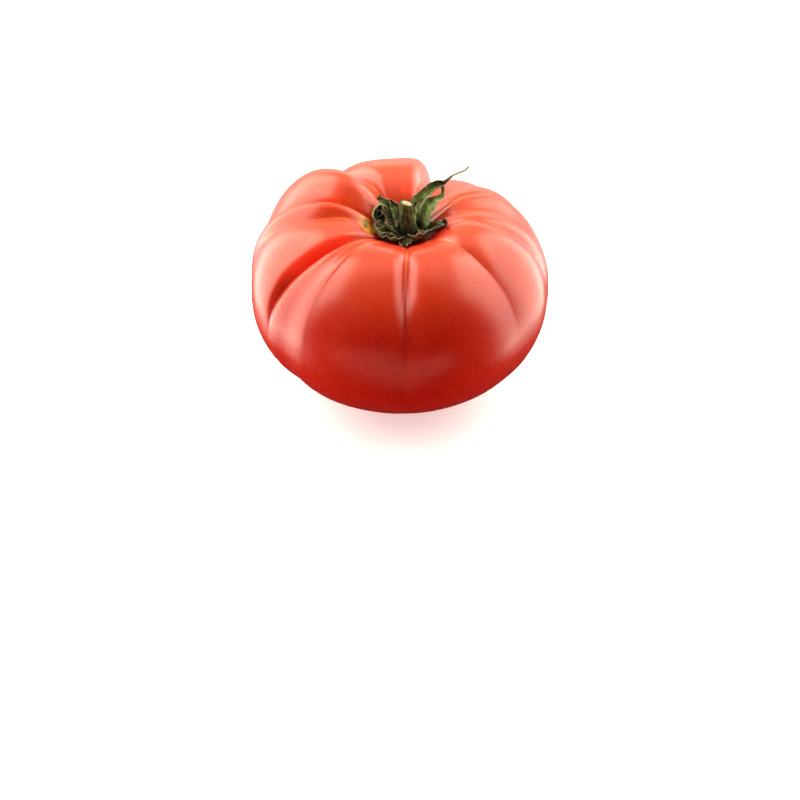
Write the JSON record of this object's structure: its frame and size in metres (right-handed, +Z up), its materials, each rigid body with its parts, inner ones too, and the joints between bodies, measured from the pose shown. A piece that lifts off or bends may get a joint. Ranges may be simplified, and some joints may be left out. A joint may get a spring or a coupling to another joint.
{
  "type": "pink heirloom tomato",
  "caption": "Squat, deeply ribbed fruit with a sunken stalk end, shrivelled curling sepals and a short cut stub of stalk, resting on a small flat spot.",
  "frame": {"origin": "middle of the flat spot that the fruit rests on, straight below the stalk end's axis", "axes": "+Z up along the fruit's axis towards the stalk, +X to the right and -Y towards the viewer of the picture's front"},
  "size_m": [0.0999, 0.0991, 0.0724],
  "materials": {
    "fruit": "satin",
    "calyx": "matte",
    "stem": "matte"
  },
  "bodies": {
    "root": {"fruit": "fruit", "calyx": "calyx", "stem": "stem"}
  },
  "joints": []
}
